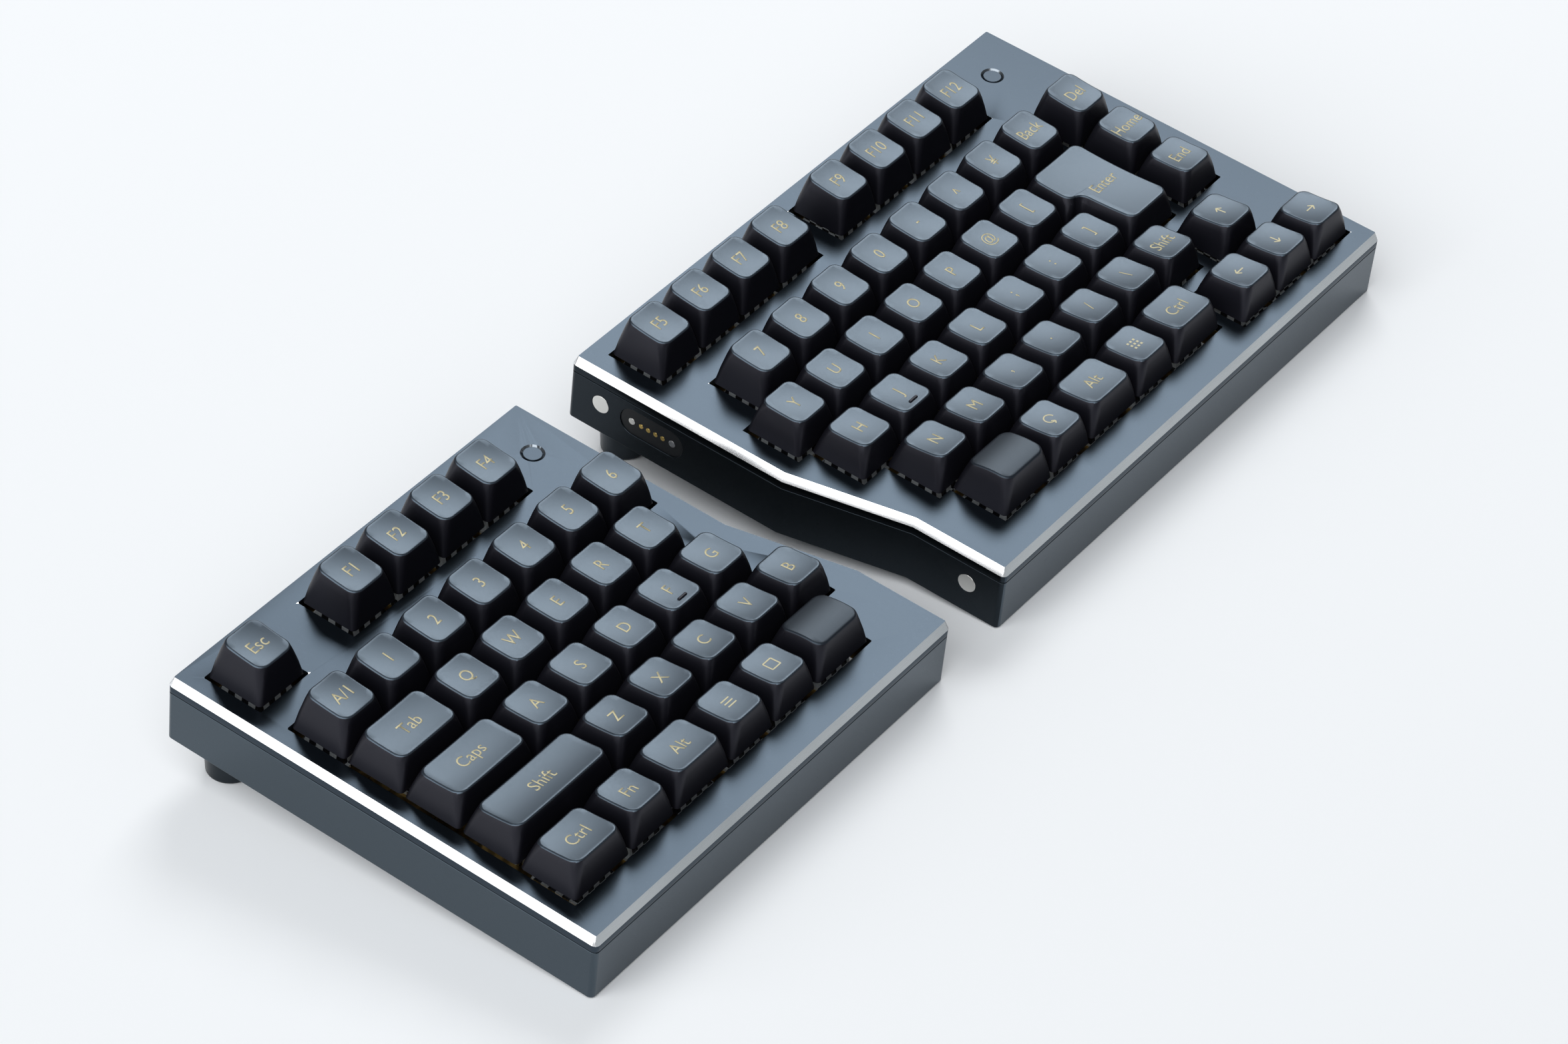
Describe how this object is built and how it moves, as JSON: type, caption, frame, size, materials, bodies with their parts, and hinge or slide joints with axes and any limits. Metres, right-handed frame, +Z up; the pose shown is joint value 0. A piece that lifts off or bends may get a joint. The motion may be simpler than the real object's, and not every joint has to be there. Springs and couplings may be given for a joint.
{
  "type": "split keyboard",
  "caption": "Split mechanical keyboard: two bevelled metal halves on tilt feet with sculpted sprung keycaps, a stepped split line and a magnetic dock between them.",
  "frame": {"origin": "middle of the whole model's box, seen from above, on the desk under its feet", "axes": "+X along the key rows to the typist's right, +Y away from the typist, +Z up"},
  "size_m": [0.3766, 0.1444, 0.0484],
  "materials": {
    "case": "satin blue-grey anodised with a polished bevel",
    "keycap": "fine matte, near black, with tan legends",
    "plate": "brushed brass",
    "board": "solder-masked board",
    "switch": "milky clear plastic",
    "cell": "foil pouch",
    "foot": "dark satin anodised",
    "magnet": "bright nickel plate",
    "connector": "black moulded, with plated contacts",
    "lens": "clear light pipe",
    "screw": "black zinc",
    "socket": "plain steel shell"
  },
  "bodies": {
    "left_half": {"left_top_case": "case", "left_bottom_case": "case", "left_switch_plate": "plate", "left_circuit_board": "board", "left_switches": "switch", "left_battery": "cell", "left_feet": "foot", "left_dock_magnets": "magnet", "left_dock_connector": "connector", "left_status_lens": "lens", "left_case_screws": "screw", "left_charging_socket": "socket"},
    "right_half": {"right_top_case": "case", "right_bottom_case": "case", "right_switch_plate": "plate", "right_circuit_board": "board", "right_switches": "switch", "right_battery": "cell", "right_feet": "foot", "right_dock_magnets": "magnet", "right_dock_connector": "connector", "right_status_lens": "lens", "right_case_screws": "screw"},
    "key_q": {"key_q": "keycap"},
    "key_w": {"key_w": "keycap"},
    "key_e": {"key_e": "keycap"},
    "key_r": {"key_r": "keycap"},
    "key_t": {"key_t": "keycap"},
    "key_a": {"key_a": "keycap"},
    "key_s": {"key_s": "keycap"},
    "key_d": {"key_d": "keycap"},
    "key_f": {"key_f": "keycap"},
    "key_g": {"key_g": "keycap"},
    "key_z": {"key_z": "keycap"},
    "key_x": {"key_x": "keycap"},
    "key_c": {"key_c": "keycap"},
    "key_v": {"key_v": "keycap"},
    "key_b": {"key_b": "keycap"},
    "keys_function_left": {"keys_function_left": "keycap"},
    "keys_numbers_left": {"keys_numbers_left": "keycap"},
    "keys_modifiers_left": {"keys_modifiers_left": "keycap"},
    "key_thumb_left": {"key_thumb_left": "keycap"},
    "key_y": {"key_y": "keycap"},
    "key_u": {"key_u": "keycap"},
    "key_i": {"key_i": "keycap"},
    "key_o": {"key_o": "keycap"},
    "key_p": {"key_p": "keycap"},
    "key_h": {"key_h": "keycap"},
    "key_j": {"key_j": "keycap"},
    "key_k": {"key_k": "keycap"},
    "key_l": {"key_l": "keycap"},
    "key_n": {"key_n": "keycap"},
    "key_m": {"key_m": "keycap"},
    "key_enter": {"key_enter": "keycap"},
    "keys_function_right": {"keys_function_right": "keycap"},
    "keys_numbers_right": {"keys_numbers_right": "keycap"},
    "keys_punctuation": {"keys_punctuation": "keycap"},
    "keys_modifiers_right": {"keys_modifiers_right": "keycap"},
    "key_thumb_right": {"key_thumb_right": "keycap"},
    "keys_cursor": {"keys_cursor": "keycap"}
  },
  "joints": [
    {"name": "dock_slide", "type": "slide", "parent": "left_half", "child": "right_half", "axis": [1, 0, 0], "range_m": [-0.0254, 0.12]},
    {"name": "press_q", "type": "slide", "parent": "left_half", "child": "key_q", "axis": [0, -0.1045, 0.9945], "range_m": [-0.004, 0], "stiffness_N_per_m": 75, "springref_m": 0.004},
    {"name": "press_w", "type": "slide", "parent": "left_half", "child": "key_w", "axis": [0, -0.1045, 0.9945], "range_m": [-0.004, 0], "stiffness_N_per_m": 75, "springref_m": 0.004},
    {"name": "press_e", "type": "slide", "parent": "left_half", "child": "key_e", "axis": [0, -0.1045, 0.9945], "range_m": [-0.004, 0], "stiffness_N_per_m": 75, "springref_m": 0.004},
    {"name": "press_r", "type": "slide", "parent": "left_half", "child": "key_r", "axis": [0, -0.1045, 0.9945], "range_m": [-0.004, 0], "stiffness_N_per_m": 75, "springref_m": 0.004},
    {"name": "press_t", "type": "slide", "parent": "left_half", "child": "key_t", "axis": [0, -0.1045, 0.9945], "range_m": [-0.004, 0], "stiffness_N_per_m": 75, "springref_m": 0.004},
    {"name": "press_a", "type": "slide", "parent": "left_half", "child": "key_a", "axis": [0, -0.1045, 0.9945], "range_m": [-0.004, 0], "stiffness_N_per_m": 75, "springref_m": 0.004},
    {"name": "press_s", "type": "slide", "parent": "left_half", "child": "key_s", "axis": [0, -0.1045, 0.9945], "range_m": [-0.004, 0], "stiffness_N_per_m": 75, "springref_m": 0.004},
    {"name": "press_d", "type": "slide", "parent": "left_half", "child": "key_d", "axis": [0, -0.1045, 0.9945], "range_m": [-0.004, 0], "stiffness_N_per_m": 75, "springref_m": 0.004},
    {"name": "press_f", "type": "slide", "parent": "left_half", "child": "key_f", "axis": [0, -0.1045, 0.9945], "range_m": [-0.004, 0], "stiffness_N_per_m": 75, "springref_m": 0.004},
    {"name": "press_g", "type": "slide", "parent": "left_half", "child": "key_g", "axis": [0, -0.1045, 0.9945], "range_m": [-0.004, 0], "stiffness_N_per_m": 75, "springref_m": 0.004},
    {"name": "press_z", "type": "slide", "parent": "left_half", "child": "key_z", "axis": [0, -0.1045, 0.9945], "range_m": [-0.004, 0], "stiffness_N_per_m": 75, "springref_m": 0.004},
    {"name": "press_x", "type": "slide", "parent": "left_half", "child": "key_x", "axis": [0, -0.1045, 0.9945], "range_m": [-0.004, 0], "stiffness_N_per_m": 75, "springref_m": 0.004},
    {"name": "press_c", "type": "slide", "parent": "left_half", "child": "key_c", "axis": [0, -0.1045, 0.9945], "range_m": [-0.004, 0], "stiffness_N_per_m": 75, "springref_m": 0.004},
    {"name": "press_v", "type": "slide", "parent": "left_half", "child": "key_v", "axis": [0, -0.1045, 0.9945], "range_m": [-0.004, 0], "stiffness_N_per_m": 75, "springref_m": 0.004},
    {"name": "press_b", "type": "slide", "parent": "left_half", "child": "key_b", "axis": [0, -0.1045, 0.9945], "range_m": [-0.004, 0], "stiffness_N_per_m": 75, "springref_m": 0.004},
    {"name": "press_function_left", "type": "slide", "parent": "left_half", "child": "keys_function_left", "axis": [0, -0.1045, 0.9945], "range_m": [-0.004, 0], "stiffness_N_per_m": 375, "springref_m": 0.004},
    {"name": "press_numbers_left", "type": "slide", "parent": "left_half", "child": "keys_numbers_left", "axis": [0, -0.1045, 0.9945], "range_m": [-0.004, 0], "stiffness_N_per_m": 525, "springref_m": 0.004},
    {"name": "press_modifiers_left", "type": "slide", "parent": "left_half", "child": "keys_modifiers_left", "axis": [0, -0.1045, 0.9945], "range_m": [-0.004, 0], "stiffness_N_per_m": 600, "springref_m": 0.004},
    {"name": "press_thumb_left", "type": "slide", "parent": "left_half", "child": "key_thumb_left", "axis": [0, -0.1045, 0.9945], "range_m": [-0.004, 0], "stiffness_N_per_m": 75, "springref_m": 0.004},
    {"name": "press_y", "type": "slide", "parent": "right_half", "child": "key_y", "axis": [0, -0.1045, 0.9945], "range_m": [-0.004, 0], "stiffness_N_per_m": 75, "springref_m": 0.004},
    {"name": "press_u", "type": "slide", "parent": "right_half", "child": "key_u", "axis": [0, -0.1045, 0.9945], "range_m": [-0.004, 0], "stiffness_N_per_m": 75, "springref_m": 0.004},
    {"name": "press_i", "type": "slide", "parent": "right_half", "child": "key_i", "axis": [0, -0.1045, 0.9945], "range_m": [-0.004, 0], "stiffness_N_per_m": 75, "springref_m": 0.004},
    {"name": "press_o", "type": "slide", "parent": "right_half", "child": "key_o", "axis": [0, -0.1045, 0.9945], "range_m": [-0.004, 0], "stiffness_N_per_m": 75, "springref_m": 0.004},
    {"name": "press_p", "type": "slide", "parent": "right_half", "child": "key_p", "axis": [0, -0.1045, 0.9945], "range_m": [-0.004, 0], "stiffness_N_per_m": 75, "springref_m": 0.004},
    {"name": "press_h", "type": "slide", "parent": "right_half", "child": "key_h", "axis": [0, -0.1045, 0.9945], "range_m": [-0.004, 0], "stiffness_N_per_m": 75, "springref_m": 0.004},
    {"name": "press_j", "type": "slide", "parent": "right_half", "child": "key_j", "axis": [0, -0.1045, 0.9945], "range_m": [-0.004, 0], "stiffness_N_per_m": 75, "springref_m": 0.004},
    {"name": "press_k", "type": "slide", "parent": "right_half", "child": "key_k", "axis": [0, -0.1045, 0.9945], "range_m": [-0.004, 0], "stiffness_N_per_m": 75, "springref_m": 0.004},
    {"name": "press_l", "type": "slide", "parent": "right_half", "child": "key_l", "axis": [0, -0.1045, 0.9945], "range_m": [-0.004, 0], "stiffness_N_per_m": 75, "springref_m": 0.004},
    {"name": "press_n", "type": "slide", "parent": "right_half", "child": "key_n", "axis": [0, -0.1045, 0.9945], "range_m": [-0.004, 0], "stiffness_N_per_m": 75, "springref_m": 0.004},
    {"name": "press_m", "type": "slide", "parent": "right_half", "child": "key_m", "axis": [0, -0.1045, 0.9945], "range_m": [-0.004, 0], "stiffness_N_per_m": 75, "springref_m": 0.004},
    {"name": "press_enter", "type": "slide", "parent": "right_half", "child": "key_enter", "axis": [0, -0.1045, 0.9945], "range_m": [-0.004, 0], "stiffness_N_per_m": 75, "springref_m": 0.004},
    {"name": "press_function_right", "type": "slide", "parent": "right_half", "child": "keys_function_right", "axis": [0, -0.1045, 0.9945], "range_m": [-0.004, 0], "stiffness_N_per_m": 600, "springref_m": 0.004},
    {"name": "press_numbers_right", "type": "slide", "parent": "right_half", "child": "keys_numbers_right", "axis": [0, -0.1045, 0.9945], "range_m": [-0.004, 0], "stiffness_N_per_m": 525, "springref_m": 0.004},
    {"name": "press_punctuation", "type": "slide", "parent": "right_half", "child": "keys_punctuation", "axis": [0, -0.1045, 0.9945], "range_m": [-0.004, 0], "stiffness_N_per_m": 675, "springref_m": 0.004},
    {"name": "press_modifiers_right", "type": "slide", "parent": "right_half", "child": "keys_modifiers_right", "axis": [0, -0.1045, 0.9945], "range_m": [-0.004, 0], "stiffness_N_per_m": 450, "springref_m": 0.004},
    {"name": "press_thumb_right", "type": "slide", "parent": "right_half", "child": "key_thumb_right", "axis": [0, -0.1045, 0.9945], "range_m": [-0.004, 0], "stiffness_N_per_m": 75, "springref_m": 0.004},
    {"name": "press_cursor", "type": "slide", "parent": "right_half", "child": "keys_cursor", "axis": [0, -0.1045, 0.9945], "range_m": [-0.004, 0], "stiffness_N_per_m": 525, "springref_m": 0.004}
  ]
}
